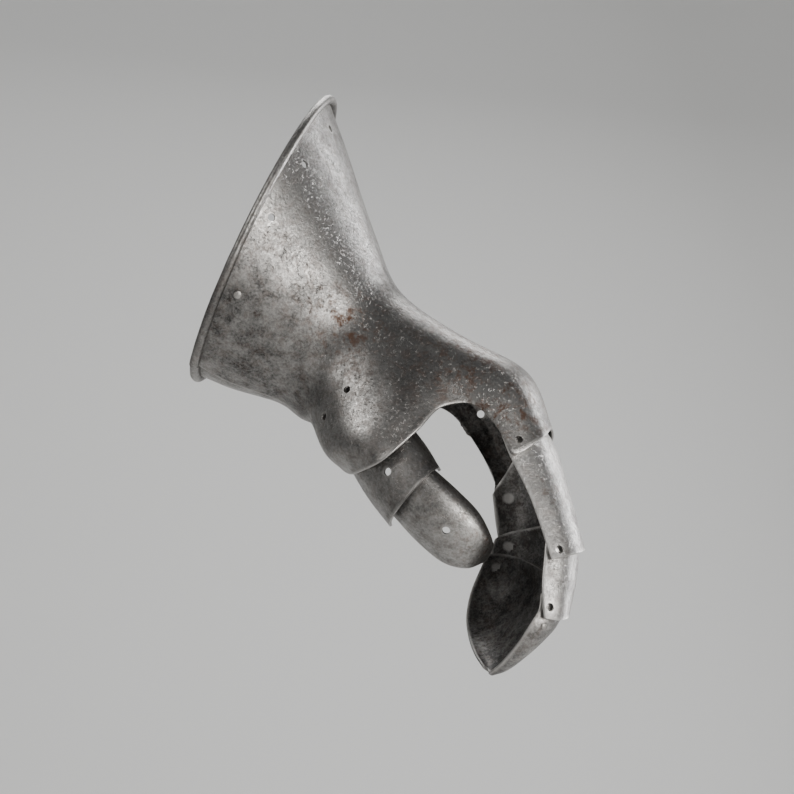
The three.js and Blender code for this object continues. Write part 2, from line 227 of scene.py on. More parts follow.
def outward(rows, closed):
    """The way out of the metal at every point of a grid of the outer face."""
    along = np.gradient(rows, axis=0)
    if closed:
        across = np.roll(rows, -1, 1) - np.roll(rows, 1, 1)
    else:
        across = np.gradient(rows, axis=1)
    out = np.cross(along, across)
    return out / np.maximum(np.linalg.norm(out, axis=-1, keepdims=True), 1e-9)


print("half way along a test line:", spline([(0, 0, 0), (1, 0, 0), (2, 1, 0)], 0.5).round(3))


# %% [markdown]
# The hand plate is one sheet from the mouth of the cuff to the knuckles. Each of its lines starts
# on the rolled rim, passes the rings of the cuff, and ends on the plate's edge: at the knuckles,
# at the arch over the root of the thumb, at the end of the thumb's cover or at the open palm.

# %% The outer face of the hand plate
HAND_COLUMNS = 264
STEPS_PER_SPAN = (14, 14, 12, 12, 16, 14, 16)
HAND_SMOOTHING = 26


def meridians(u):
    """Control points of the meridian at u, a number of rows of the table with parts between."""
    count = len(HAND_MERIDIANS)
    i = int(math.floor(u))
    at = [HAND_MERIDIANS[k % count][0] + 360 * (k // count) for k in (i, i + 1)]
    angle = math.radians(at[0] + (at[1] - at[0]) * (u - i))
    points = []
    for back_x, back_z, palm_x, palm_z, half, lean in CUFF_RINGS:
        x = (back_x + palm_x) / 2 + (back_x - palm_x) / 2 * math.cos(angle) - lean * math.sin(angle)
        z = (back_z + palm_z) / 2 + (back_z - palm_z) / 2 * math.cos(angle)
        points.append((x, half * math.sin(angle), z))
    loops = [[row[k] for row in HAND_MERIDIANS] for k in (1, 2, 3)]
    return points + [tuple(spline(loop, u, closed=True)) for loop in loops]


def hand_grid(columns):
    """Outer face of the hand plate: rows from the mouth to the edge, columns round it."""
    count = len(HAND_MERIDIANS)
    control = np.array([meridians(j * count / columns) for j in range(columns)]).transpose(1, 0, 2)
    stations = [i + k / steps for i, steps in enumerate(STEPS_PER_SPAN) for k in range(steps)]
    return np.array([spline(control, v) for v in [*stations, len(STEPS_PER_SPAN)]])


hand_outer = smooth_grid(hand_grid(HAND_COLUMNS), HAND_SMOOTHING, closed=True)
print("hand plate grid:", hand_outer.shape[:2])


# %% [markdown]
# Nothing hammered by hand is perfectly even. Slow, shallow waves are pressed into the faces
# before the thickness is added, so that highlights break up the way they do on planished steel.
# Long low waves look like hand work. Short high ones would look like dents.

# %% Hand work: hammer waves
WAVES = ((30.0, 0.28), (12.0, 0.05))  # wavelength and height of each kind of wave, mm


def hammer(rows, out, seed):
    """Moves each point of a face out or in by smooth noise."""
    moved = rows.copy()
    shift = Vector((seed * 31.7, seed * 17.3, seed * 5.1))
    flat = moved.reshape(-1, 3)
    ways = out.reshape(-1, 3)
    for length, height in WAVES:
        for k, p in enumerate(rows.reshape(-1, 3)):
            flat[k] += ways[k] * height * noise.noise(Vector(p) / length + shift)
    return moved


hand_out = outward(hand_outer, closed=True)
hand_outer = hammer(hand_outer, hand_out, seed=1)
hand_inner = hand_outer - outward(hand_outer, closed=True) * SHEET
print("deepest wave in mm:", sum(height for _, height in WAVES))


# %% [markdown]
# A plate becomes a solid when its outer face, its rounded edge and its inner face are joined into
# a closed ring of points for every line across it. Next to each point the mesh keeps how far it
# is from the plate's free edge, in millimetres. The finish uses that later for bright, worn edges.

# %% From faces to solid plates
EDGE_POINTS = 3  # points round the plate's edge, between its two faces
EDGE_NAME = "edge_distance"
FAR_FROM_EDGE = 40.0


def edge_round(outer, inner, ahead):
    """Points of a half-round edge from the outer to the inner face, bulging ahead."""
    middle = (outer + inner) / 2
    reach = np.linalg.norm(outer - inner, axis=-1, keepdims=True) / 2
    turns = [math.pi * (k + 1) / (EDGE_POINTS + 1) for k in range(EDGE_POINTS)]
    side = (outer - middle) / reach
    return [middle + reach * (side * math.cos(t) + ahead * math.sin(t)) for t in turns]


def unit(vectors):
    return vectors / np.maximum(np.linalg.norm(vectors, axis=-1, keepdims=True), 1e-9)


def make_mesh(name, positions, faces, edge_mm):
    """A mesh object in metres, with smooth faces and the distance to the edge on each vertex."""
    mesh = bpy.data.meshes.new(name)
    mesh.from_pydata([tuple(p * MM) for p in positions], [], faces)
    mesh.validate()
    layer = mesh.attributes.new(EDGE_NAME, "FLOAT", "POINT")
    layer.data.foreach_set("value", np.asarray(edge_mm, np.float32))
    mesh.polygons.foreach_set("use_smooth", [True] * len(mesh.polygons))
    thing = bpy.data.objects.new(name, mesh)
    bpy.context.scene.collection.objects.link(thing)
    return thing


def ring_faces(count, size, closed):
    """Quads between neighbouring rings of points, each ring closed on itself."""
    spans = count if closed else count - 1
    at = lambda i, k: (i % count) * size + k % size
    cells = [(i, k) for i in range(spans) for k in range(size)]
    return [(at(i, k), at(i, k + 1), at(i + 1, k + 1), at(i + 1, k)) for i, k in cells]


def turn_outwards(mesh):
    """Points every face of a closed mesh out of the metal."""
    solid = bmesh.new()
    solid.from_mesh(mesh)
    bmesh.ops.recalc_face_normals(solid, faces=solid.faces)
    solid.to_mesh(mesh)
    solid.free()


def build_hand_plate():
    """The hand plate without its roll: outer face, rounded edge, inner face, mouth end."""
    length = np.linalg.norm(np.diff(hand_outer, axis=0), axis=-1)
    from_end = np.vstack([np.cumsum(length[::-1], axis=0)[::-1], np.zeros(length.shape[1])])
    lip = edge_round(hand_outer[-1], hand_inner[-1], unit(hand_outer[-1] - hand_outer[-2]))
    ring = [*hand_outer, *lip, *hand_inner[::-1]]
    edge = [*from_end, *([np.zeros(HAND_COLUMNS)] * EDGE_POINTS), *from_end[::-1]]
    positions = np.array(ring).transpose(1, 0, 2).reshape(-1, 3)
    edge_mm = np.minimum(np.array(edge).transpose(1, 0).reshape(-1), FAR_FROM_EDGE)
    return make_mesh("hand_plate_steel", positions, ring_faces(HAND_COLUMNS, len(ring), True), edge_mm)


hand_plate = build_hand_plate()
print("hand plate faces:", len(hand_plate.data.polygons))

# %% [markdown]
# The other five plates are arches: each is raised over a row of hoops that stand across the
# finger or the thumb. A hoop is a squared half-ellipse from one free edge over the crown to the
# other. More columns are spent where the arch turns down at its shoulders.

# %% The open plates
PLATE_COLUMNS = 96
STEPS_PER_HOOP = 22
PLATE_SMOOTHING = 14


def arch(near, crown, far, u):
    """A point of the squared half-ellipse, u from -1 at the near edge to 1 at the far edge."""
    near, crown, far = (np.array(p, float) for p in (near, crown, far))
    middle = (near + far) / 2
    turn = u * math.pi / 2
    power = 2 / ARCH_FULLNESS
    across = math.copysign(abs(math.sin(turn)) ** power, u) if u else 0.0
    return middle + (far - near) / 2 * across + (crown - middle) * max(math.cos(turn), 0) ** power


def even_columns(hoops):
    """Values of u that are evenly spaced along the middle arch."""
    fine = np.linspace(-1, 1, 721)
    points = np.array([arch(*hoops[len(hoops) // 2], u) for u in fine])
    run = np.concatenate([[0], np.cumsum(np.linalg.norm(np.diff(points, axis=0), axis=1))])
    return np.interp(np.linspace(0, run[-1], PLATE_COLUMNS), run, fine)


def plate_grid(hoops):
    columns = even_columns(hoops)
    control = np.array([[arch(*hoop, u) for u in columns] for hoop in hoops])
    steps = (len(hoops) - 1) * STEPS_PER_HOOP
    return np.array([spline(control, i / STEPS_PER_HOOP) for i in range(steps + 1)])


def edge_distances(rows):
    """Shortest way from each point of a grid to its four sides, measured along the grid."""
    def run(axis):
        step = np.linalg.norm(np.diff(rows, axis=axis), axis=-1)
        total = np.cumsum(step, axis=axis)
        zero = np.zeros_like(np.take(total, [0], axis=axis))
        start = np.concatenate([zero, total], axis=axis)
        return np.minimum(start, np.take(start, [-1], axis=axis) - start)
    return np.minimum(np.minimum(run(0), run(1)), FAR_FROM_EDGE)


def build_open_plate(name, seed):
    """One arched plate as a closed solid, rounded along its near and far edges and cut square across its
    first and last hoops.
    """
    outer = smooth_grid(plate_grid(HOOPS[name]), PLATE_SMOOTHING, closed=False)
    outer = hammer(outer, outward(outer, False), seed)
    inner = outer - outward(outer, False) * SHEET
    edge = edge_distances(outer)
    rings = []
    marks = []
    left = edge_round(inner[:, 0], outer[:, 0], unit(outer[:, 0] - outer[:, 1]))
    right = edge_round(outer[:, -1], inner[:, -1], unit(outer[:, -1] - outer[:, -2]))
    for i in range(len(outer)):
        rings.append([*outer[i], *(p[i] for p in right), *inner[i][::-1], *(p[i] for p in left)])
        marks.append([*edge[i], *[0] * EDGE_POINTS, *edge[i][::-1], *[0] * EDGE_POINTS])
    size = len(rings[0])
    half = PLATE_COLUMNS
    faces = ring_faces(len(rings), size, False)
    for i, flip in ((0, False), (len(rings) - 1, True)):
        for k in range(half - 1):
            a, b = i * size + k, i * size + k + 1
            d, c = i * size + 2 * half + EDGE_POINTS - 1 - k, i * size + 2 * half + EDGE_POINTS - 2 - k
            faces.append((a, b, c, d) if flip else (d, c, b, a))
        for a, b in ((half - 1, half + EDGE_POINTS), (2 * half + EDGE_POINTS - 1, size)):
            fan = [i * size + k % size for k in range(a, b + 1)]
            faces.append(tuple(fan[::-1] if not flip else fan)[::-1])
    thing = make_mesh(name + "_steel", np.array(rings).reshape(-1, 3), faces, np.array(marks).reshape(-1))
    turn_outwards(thing.data)
    return thing


plates = {name: build_open_plate(name, seed) for seed, name in enumerate(HOOPS, start=2)}
for name, plate in plates.items():
    print(name, "faces:", len(plate.data.polygons))

# %% [markdown]
# The empty holes once held rivets and laces. They are cut with thin round bars that stand square
# to the plate. A boolean modifier does the cutting, and the finished mesh replaces the old one.
# Cutting makes new points, so the distance to the edge is worked out again from the old points.

# %% Holes
HAND_HOLES = [  # meridian number and span number of each hole in the hand plate
    (20.2, 0.52), (17.7, 0.54), (15.2, 0.47), (1.4, 0.52), (3.1, 0.54), (5, 0.5), (7, 0.5),
    (14.15, 4.58), (12.63, 4.63), (2.23, 5.55),
]
THUMB_HOLES = {"thumb_lame": (-0.12, 0.99), "thumb_tip_plate": (-0.19, 1.48)}
PIVOTS = {  # the two ends of each line that the finger plates turn about
    "knuckle": ((125, -49.7, -123.5), (129.3, 49.3, -126.5)),
    "middle": ((143.9, -46.2, -176.4), (127.5, 45.3, -151.7)),
    "last": ((139.3, -41.5, -203.3), (120.6, 41.2, -162.7)),
}
BORED = {  # plates that each pivot goes through
    "hand_plate": ["knuckle"],
    "finger_lame_1": ["knuckle", "middle"],
    "finger_lame_2": ["middle", "last"],
    "finger_tip_plate": ["last"],
}
BAR_SIDES = 32
BAR_HALF_LENGTH = 4.0
HOLE_EDGE = 60  # degrees: a sharper corner than this stays crisp


def hand_spot(u, v):
    """The point of the hand plate at (u, v) and the way out of it."""
    at = lambda a, b: spline(np.array(meridians(a)), b)
    step = 1e-3
    out = np.cross(at(u, v + step) - at(u, v - step), at(u + step, v) - at(u - step, v))
    return at(u, v), unit(out)


def plate_spot(name, u, v):
    """The point of an open plate at (u, v) and the way out of it."""
    at = lambda a, b: spline(np.array([arch(*hoop, a) for hoop in HOOPS[name]]), b)
    step = 1e-3
    out = np.cross(at(u, v + step) - at(u, v - step), at(u + step, v) - at(u - step, v))
    return at(u, v), unit(out)


def pivot_spots(name):
    near, far = (np.array(p, float) for p in PIVOTS[name])
    return [(near, unit(far - near)), (far, unit(far - near))]


def drill(thing, spots):
    """Cuts round holes through a plate and keeps its edge distances up to date."""
    cutter = bmesh.new()
    for point, out in spots:
        turn = Vector(out).to_track_quat("Z", "Y").to_matrix().to_4x4()
        place = Matrix.Translation(Vector(point) * MM) @ turn
        bmesh.ops.create_cone(
            cutter, cap_ends=True, segments=BAR_SIDES, radius1=HOLE_RADIUS * MM, radius2=HOLE_RADIUS * MM,
            depth=2 * BAR_HALF_LENGTH * MM, matrix=place,
        )
    tool_mesh = bpy.data.meshes.new("drill")
    cutter.to_mesh(tool_mesh)
    cutter.free()
    tool = bpy.data.objects.new("drill", tool_mesh)
    bpy.context.scene.collection.objects.link(tool)
    old = thing.data
    cut = thing.modifiers.new("holes", "BOOLEAN")
    cut.operation = "DIFFERENCE"
    cut.solver = "EXACT"
    cut.object = tool
    made = bpy.data.meshes.new_from_object(thing.evaluated_get(bpy.context.evaluated_depsgraph_get()))
    thing.modifiers.clear()
    thing.data = made
    bpy.data.objects.remove(tool)
    refresh_edges(old, made, spots)
    made.set_sharp_from_angle(angle=math.radians(HOLE_EDGE))
    made.name = old.name


def coordinates(mesh):
    """All vertices of a mesh as an array, in millimetres."""
    flat = np.zeros(len(mesh.vertices) * 3, np.float32)
    mesh.vertices.foreach_get("co", flat)
    return flat.reshape(-1, 3) / MM


def refresh_edges(old, made, spots):
    """Edge distance after drilling: the old plate's, or the way to the nearest hole if shorter."""
    tree = KDTree(len(old.vertices))
    for k, vertex in enumerate(old.vertices):
        tree.insert(vertex.co, k)
    tree.balance()
    before = np.zeros(len(old.vertices), np.float32)
    old.attributes[EDGE_NAME].data.foreach_get("value", before)
    points = coordinates(made)
    edge = np.array([before[tree.find(vertex.co)[1]] for vertex in made.vertices])
    for point, out in spots:
        arm = points - point
        off_axis = np.linalg.norm(arm - (arm @ out)[:, None] * out, axis=1)
        near = np.linalg.norm(arm, axis=1) < 2 * BAR_HALF_LENGTH
        edge = np.where(near, np.minimum(edge, np.maximum(off_axis - HOLE_RADIUS, 0)), edge)
    layer = made.attributes.get(EDGE_NAME) or made.attributes.new(EDGE_NAME, "FLOAT", "POINT")
    layer.data.foreach_set("value", edge.astype(np.float32))


spots = [hand_spot(u, v) for u, v in HAND_HOLES]
drill(hand_plate, spots + pivot_spots("knuckle"))
for name, plate in plates.items():
    holes = [plate_spot(name, *THUMB_HOLES[name])] if name in THUMB_HOLES else []
    for pivot in BORED.get(name, []):
        holes += pivot_spots(pivot)
    drill(plate, holes)
print("hand plate faces after drilling:", len(hand_plate.data.polygons))

# %% [markdown]
# The cuff was closed under the forearm by lapping one edge of the sheet over the other. The upper
# edge is made as a thin strip that lies on the plate. It stands a sheet's thickness high along the
# seam and sinks into the plate on its other side, so only the crisp cut edge shows.

# %% The lapped seam
SEAM_AT = 10.45  # meridian number of the seam at the mouth
SEAM_DRIFT = -0.15  # change of that number with each span towards the wrist
SEAM_SPANS = 3.4
SEAM_WIDTH = 1.3  # in meridians
SEAM_RISE = 1.25
SEAM_ROWS, SEAM_COLUMNS = 70, 14


def build_seam():
    """The lapped strip as a closed sheet, highest along the seam."""
    top, low = [], []
    for v in np.linspace(0.03, SEAM_SPANS, SEAM_ROWS):
        fade = 1 - (v / SEAM_SPANS) ** 2
        for w in np.linspace(0, 1, SEAM_COLUMNS):
            point, out = hand_spot(SEAM_AT + SEAM_DRIFT * v + SEAM_WIDTH * w, v)
            top.append(point + out * (SEAM_RISE * fade * (1 - w) - 0.35 * w - 0.1 * (1 - fade)))
            low.append(point - out * 0.7)
    rows = lambda flat: np.array(flat).reshape(SEAM_ROWS, SEAM_COLUMNS, 3)
    rings = np.concatenate([rows(top), rows(low)[:, ::-1]], axis=1)
    size = 2 * SEAM_COLUMNS
    faces = ring_faces(SEAM_ROWS, size, False)
    faces += [tuple(range(size)), tuple(range((SEAM_ROWS - 1) * size, SEAM_ROWS * size))[::-1]]
    from_seam = np.minimum(np.arange(size), np.arange(size)[::-1]) * 1.6
    strip = make_mesh("lapped_seam", rings.reshape(-1, 3), faces, np.tile(from_seam, SEAM_ROWS))
    turn_outwards(strip.data)
    strip.data.set_sharp_from_angle(angle=math.radians(40))
    return strip


lapped_seam = build_seam()
print("lapped seam faces:", len(lapped_seam.data.polygons))

# %% [markdown]
# The mouth of a cuff is rolled over a wire, which stiffens the edge and keeps it from cutting the
# arm. The roll is made as a tube that follows the mouth, standing proud on the outside. It starts
# and stops at the lapped seam under the forearm, where its two ends pass each other.

# %% The rolled rim
ROLL_STEPS = 540
ROLL_SIDES = 20
ROLL_WOBBLE = 0.12  # unevenness of the roll's radius, mm
ROLL_START = SEAM_AT + 0.06
ROLL_STOP = SEAM_AT + len(HAND_MERIDIANS) - 0.06
ROLL_STEP_OUT = 1.5  # the roll's first stretch stands this far out, on the lapped edge
STEP_LENGTH = 1.2  # in meridians


def build_roll():
    """A tube round the mouth, its centre set so that it is flush with the inside of the cuff."""
    rings = []
    for u in np.linspace(ROLL_START, ROLL_STOP, ROLL_STEPS):
        lip, out = hand_spot(u % len(HAND_MERIDIANS), 0.004)
        back = unit(lip - hand_spot(u % len(HAND_MERIDIANS), 0.05)[0])
        lift = ROLL_STEP_OUT * max(0, 1 - (u - ROLL_START) / STEP_LENGTH)
        middle = lip + out * (ROLL_RADIUS - SHEET + lift)
        ring = []
        for k in range(ROLL_SIDES):
            turn = 2 * math.pi * k / ROLL_SIDES
            way = back * math.cos(turn) + out * math.sin(turn)
            uneven = ROLL_WOBBLE * noise.noise(Vector(middle + way * 3) / 9)
            ring.append(middle + way * (ROLL_RADIUS + uneven))
        rings.append(ring)
    size = ROLL_SIDES
    faces = ring_faces(ROLL_STEPS, size, False)
    faces.append(tuple(range(size)))
    faces.append(tuple(range((ROLL_STEPS - 1) * size, ROLL_STEPS * size))[::-1])
    positions = np.array(rings).reshape(-1, 3)
    roll = make_mesh("rolled_rim", positions, faces, np.full(len(positions), 1.2))
    turn_outwards(roll.data)
    roll.data.set_sharp_from_angle(angle=math.radians(HOLE_EDGE))
    return roll


rolled_rim = build_roll()
print("rolled rim faces:", len(rolled_rim.data.polygons))

# %% [markdown]
# Three rivets are left. A Geometry Nodes tree puts a low dome on every point it is given and
# turns it to stand on the sheet. It is built once and used for the hand and for the fingertip
# plate, because a mesh can only follow one body. The results are turned into plain meshes.

# %% Rivets with Geometry Nodes
RIVETS = {  # body that carries them, then surface, place and radius of each
    "hand": [(None, 13.27, 0.53, 2.2), (None, 10.97, 0.45, 1.3)],
    "finger_plate_3": [("finger_tip_plate", -0.86, 2.0, 1.4)],
}
RIVET_HEIGHT = 0.3  # share of a head's radius that it stands out
RIVET_RINGS = 8
RIVET_SEGMENTS = 24


def rivet_tree(material):
    """Points with a facing and a size in; domed heads as one mesh out."""
    tree = bpy.data.node_groups.new("rivet heads", "GeometryNodeTree")
    tree.interface.new_socket("Points", in_out="INPUT", socket_type="NodeSocketGeometry")
    tree.interface.new_socket("Height", in_out="INPUT", socket_type="NodeSocketFloat")
    tree.interface.new_socket("Mesh", in_out="OUTPUT", socket_type="NodeSocketGeometry")
    node = lambda kind: tree.nodes.new(kind)
    link = tree.links.new
    source, result = node("NodeGroupInput"), node("NodeGroupOutput")
    dome = node("GeometryNodeMeshUVSphere")
    dome.inputs["Segments"].default_value = RIVET_SEGMENTS
    dome.inputs["Rings"].default_value = RIVET_RINGS
    dome.inputs["Radius"].default_value = 1
    squash = node("ShaderNodeCombineXYZ")
    facing = node("GeometryNodeInputNamedAttribute")
    radius = node("GeometryNodeInputNamedAttribute")
    squash.inputs[0].default_value = squash.inputs[1].default_value = 1
    link(source.outputs["Height"], squash.inputs[2])
    facing.data_type, radius.data_type = "FLOAT_VECTOR", "FLOAT"
    facing.inputs["Name"].default_value, radius.inputs["Name"].default_value = "facing", "radius"
    flat = node("GeometryNodeTransform")
    link(dome.outputs["Mesh"], flat.inputs["Geometry"])
    link(squash.outputs[0], flat.inputs["Scale"])
    turn = node("FunctionNodeAlignRotationToVector")
    turn.axis = "Z"
    link(facing.outputs["Attribute"], turn.inputs["Vector"])
    place = node("GeometryNodeInstanceOnPoints")
    link(source.outputs["Points"], place.inputs["Points"])
    link(flat.outputs["Geometry"], place.inputs["Instance"])
    link(turn.outputs["Rotation"], place.inputs["Rotation"])
    link(radius.outputs["Attribute"], place.inputs["Scale"])
    real, coat = node("GeometryNodeRealizeInstances"), node("GeometryNodeSetMaterial")
    coat.inputs["Material"].default_value = material
    link(place.outputs["Instances"], real.inputs["Geometry"])
    link(real.outputs["Geometry"], coat.inputs["Geometry"])
    link(coat.outputs["Geometry"], result.inputs[0])
    return tree


def place_rivets(body, tree):
    """Runs the tree on this body's rivets and returns them as one plain mesh."""
    points = bpy.data.meshes.new("rivet points")
    spots = [hand_spot(u, v) if name is None else plate_spot(name, u, v) for name, u, v, _ in RIVETS[body]]
    points.from_pydata([tuple(point * MM) for point, _ in spots], [], [])
    facing = points.attributes.new("facing", "FLOAT_VECTOR", "POINT")
    facing.data.foreach_set("vector", np.array([out for _, out in spots], np.float32).reshape(-1))
    radius = points.attributes.new("radius", "FLOAT", "POINT")
    radius.data.foreach_set("value", [r * MM for _, _, _, r in RIVETS[body]])
    thing = bpy.data.objects.new(body + "_rivets", points)
    bpy.context.scene.collection.objects.link(thing)
    heads = thing.modifiers.new("heads", "NODES")
    heads.node_group = tree
    ids = {s.name: s.identifier for s in tree.interface.items_tree if s.in_out == "INPUT"}
    heads[ids["Height"]] = RIVET_HEIGHT
    made = bpy.data.meshes.new_from_object(thing.evaluated_get(bpy.context.evaluated_depsgraph_get()))
    thing.modifiers.clear()
    thing.data = made
    made.polygons.foreach_set("use_smooth", [True] * len(made.polygons))
    return thing

# %% [markdown]
# Age is not even, and some light is painted in as well. The brighter places are painted highlights where
# the lamps catch the cuff, the thumb and the knuckles, partly rubbed wear. Damp browned others.
# Faces that look into the hollow, and a few places low on the cuff and by the thumb, get painted shade.
# Three numbers on each point of the mesh hold this: how much painted highlight and wear, how stained, and
# how much painted shade, most where it looks into the hollow.
# The steel reads them by name, and noise breaks up their soft outlines.

# %% Painted highlight and wear, stains and painted shade
# painted highlights, partly rubbed wear: the tone is lightened along the lit middle of the cuff, the thumb
# and the knuckles
HIGHLIGHT_AND_WEAR = [  # middle of each place in mm, its radius and strength
    ((14, -60, -1), 24, 0.8), ((34, -45, -24), 22, 0.9), ((50, -38, -48), 16, 1.0),
    ((118, -48, -104), 20, 1.0), ((131, -46, -128), 15, 0.9), ((138, -46, -160), 16, 0.7),
    ((29, -40, -83), 9, 0.8), ((42, -45, -112), 12, 0.6), ((104, -36, -165), 10, 0.7),
]
STAINED = [
    ((44, -38, -63), 17, 0.8), ((100, -44, -87), 22, 0.7), ((118, -48, -108), 20, 0.9),
    ((138, -46, -146), 10, 0.6), ((108, -34, -168), 10, 0.6),
]
# painted shade: these spots darken the lower side of the cuff and a fold near the thumb
PAINTED_SHADE_SPOTS = [
    ((-16, -55, -72), 42, 0.75), ((2, -30, -84), 30, 0.6),
    ((90, -46, -93), 13, 0.5), ((22, -44, -50), 18, 0.35),
]


def soft_spots(points, table):
    """At each point, the strongest of the soft round spots in a table."""
    amount = np.zeros(len(points))
    for middle, radius, strength in table:
        away = np.linalg.norm(points - np.array(middle), axis=1) / radius
        amount = np.maximum(amount, strength * np.exp(-away ** 2))
    return amount


def age(thing, hollow):
    """Writes the three numbers on a piece; hollow is a line along which its inside looks, and faces turned
    towards it get painted shade.
    """
    points = coordinates(thing.data)
    normals = np.zeros(len(points) * 3, np.float32)
    thing.data.vertices.foreach_get("normal", normals)
    line = np.array(hollow, float)
    start, way = line[0], unit(line[1] - line[0])
    arm = points - start
    outwards = arm - (arm @ way)[:, None] * way
    facing = (normals.reshape(-1, 3) * unit(outwards)).sum(axis=1)
    values = {
        "highlight_and_wear": soft_spots(points, HIGHLIGHT_AND_WEAR),
        "stained": soft_spots(points, STAINED),
        # painted shade: faces turned into the hollow are darkened, and so are the shade spots
        "inside": np.maximum(np.clip(0.5 - 1.5 * facing, 0, 0.8), soft_spots(points, PAINTED_SHADE_SPOTS)),
    }
    for name, value in values.items():
        layer = thing.data.attributes.new(name, "FLOAT", "POINT")
        layer.data.foreach_set("value", value.astype(np.float32))


FOREARM = ((0, 0, 0), (72, 0, -84))
FINGERS = ((118, 0, -118), (112, 0, -200))
THUMB = ((60, -24, -120), (98, -24, -165))
for thing, hollow in (
    (hand_plate, FOREARM), (rolled_rim, FOREARM), (lapped_seam, FOREARM),
    (plates["finger_lame_1"], FINGERS), (plates["finger_lame_2"], FINGERS),
    (plates["finger_tip_plate"], FINGERS),
    (plates["thumb_lame"], THUMB), (plates["thumb_tip_plate"], THUMB),
):
    age(thing, hollow)
print("places rubbed, stained, darkened:", len(HIGHLIGHT_AND_WEAR), len(STAINED), len(PAINTED_SHADE_SPOTS))

# %% [markdown]
# All the plates are the same old steel, so its look is one shader group with a few inputs; the finger lames
# get a lighter copy of it as a painted highlight.
# Layers of noise give slow clouds, mottled patina and fine pits. The marked spots add painted highlight and
# wear, and painted shade, to the tone.
# The distance to the edge brightens the rubbed rims. The group gives only what varies; metalness is one
# number on the shader itself.

# %% The steel
STEEL_INPUTS = (
    ("Dark", "Color"), ("Light", "Color"), ("Rust", "Color"),
    ("Rust amount", "Float"), ("Pitting", "Float"), ("Wear", "Float"),
)
STEEL_OUTPUTS = (("Color", "Color"), ("Roughness", "Float"), ("Normal", "Vector"))
PIT_DEPTH = 0.12  # mm


def steel_group():
    """Colour, roughness and normal of old sheet steel."""
    tree = bpy.data.node_groups.new("aged steel", "ShaderNodeTree")
    for name, kind in STEEL_INPUTS:
        tree.interface.new_socket(name, in_out="INPUT", socket_type="NodeSocket" + kind)
    for name, kind in STEEL_OUTPUTS:
        tree.interface.new_socket(name, in_out="OUTPUT", socket_type="NodeSocket" + kind)
    link = tree.links.new
    source, result = tree.nodes.new("NodeGroupInput"), tree.nodes.new("NodeGroupOutput")
    where = tree.nodes.new("ShaderNodeTexCoord")

    def noise_at(scale, detail, roughness=0.6, distortion=0.0):
        node = tree.nodes.new("ShaderNodeTexNoise")
        node.inputs["Scale"].default_value = scale
        node.inputs["Detail"].default_value = detail
        node.inputs["Roughness"].default_value = roughness
        node.inputs["Distortion"].default_value = distortion
        link(where.outputs["Object"], node.inputs["Vector"])
        return node.outputs["Fac"]

    def remap(value, low, high, to_low=0.0, to_high=1.0):
        node = tree.nodes.new("ShaderNodeMapRange")
        link(value, node.inputs["Value"])
        for key, number in (("From Min", low), ("From Max", high), ("To Min", to_low), ("To Max", to_high)):
            node.inputs[key].default_value = number
        return node.outputs["Result"]

    def calc(operation, a, b):
        node = tree.nodes.new("ShaderNodeMath")
        node.operation = operation
        for socket, value in zip(node.inputs, (a, b)):
            if isinstance(value, (int, float)):
                socket.default_value = value
            else:
                link(value, socket)
        return node.outputs[0]

    def mix(factor, a, b):
        node = tree.nodes.new("ShaderNodeMix")
        node.data_type = "RGBA"
        link(factor, node.inputs["Factor"])
        link(a, node.inputs["A"])
        link(b, node.inputs["B"])
        return node.outputs["Result"]

    clouds = remap(noise_at(24, 3), 0.35, 0.65)
    mottle = remap(noise_at(120, 7, 0.7), 0.38, 0.62)
    specks = remap(noise_at(750, 5, 0.75), 0.40, 0.60)
    pits = remap(noise_at(620, 4, 0.7), 0.58, 0.68)

    def marked(name):
        node = tree.nodes.new("ShaderNodeAttribute")
        node.attribute_name = name
        return node.outputs["Fac"]

    fine = calc("ADD", calc("MULTIPLY", mottle, 0.4), calc("MULTIPLY", specks, 0.3))
    mixed = calc("ADD", calc("MULTIPLY", clouds, 0.3), fine)
    # painted highlight, partly rubbed wear: the marked spots lighten the tone
    highlight_and_wear = calc("MULTIPLY", marked("highlight_and_wear"), calc("ADD", calc("MULTIPLY", specks, 0.5), 0.35))
    # painted shade: faces into the hollow and the shade spots darken the tone
    painted_shade = calc("MULTIPLY", marked("inside"), 0.5)
    tone = remap(calc("SUBTRACT", calc("ADD", mixed, highlight_and_wear), painted_shade), -0.1, 1.1)
    base = mix(tone, source.outputs["Dark"], source.outputs["Light"])
    stain = calc("ADD", calc("MULTIPLY", marked("stained"), 1.3), 0.3)
    patches = remap(noise_at(210, 7, 0.75, 0.2), 0.47, 0.6)
    rust = calc("MULTIPLY", calc("MULTIPLY", patches, stain), source.outputs["Rust amount"])
    rusty = mix(rust, base, source.outputs["Rust"])
    from_edge = calc("ADD", marked(EDGE_NAME), calc("MULTIPLY", mottle, 1.2))
    near_edge = remap(from_edge, 0.4, 1.8, 1.0, 0.0)
    worn = calc("MULTIPLY", near_edge, source.outputs["Wear"])
    colour = mix(worn, rusty, source.outputs["Light"])
    link(colour, result.inputs["Color"])
    rough = remap(tone, 0, 1, 0.5, 0.3)
    link(calc("ADD", rough, calc("MULTIPLY", rust, 0.2)), result.inputs["Roughness"])
    pitted = calc("MULTIPLY", pits, source.outputs["Pitting"])
    height = calc("SUBTRACT", calc("MULTIPLY", specks, 0.3), pitted)
    bump = tree.nodes.new("ShaderNodeBump")
    bump.inputs["Distance"].default_value = PIT_DEPTH * MM
    link(height, bump.inputs["Height"])
    link(bump.outputs["Normal"], result.inputs["Normal"])
    return tree


STEEL = steel_group()


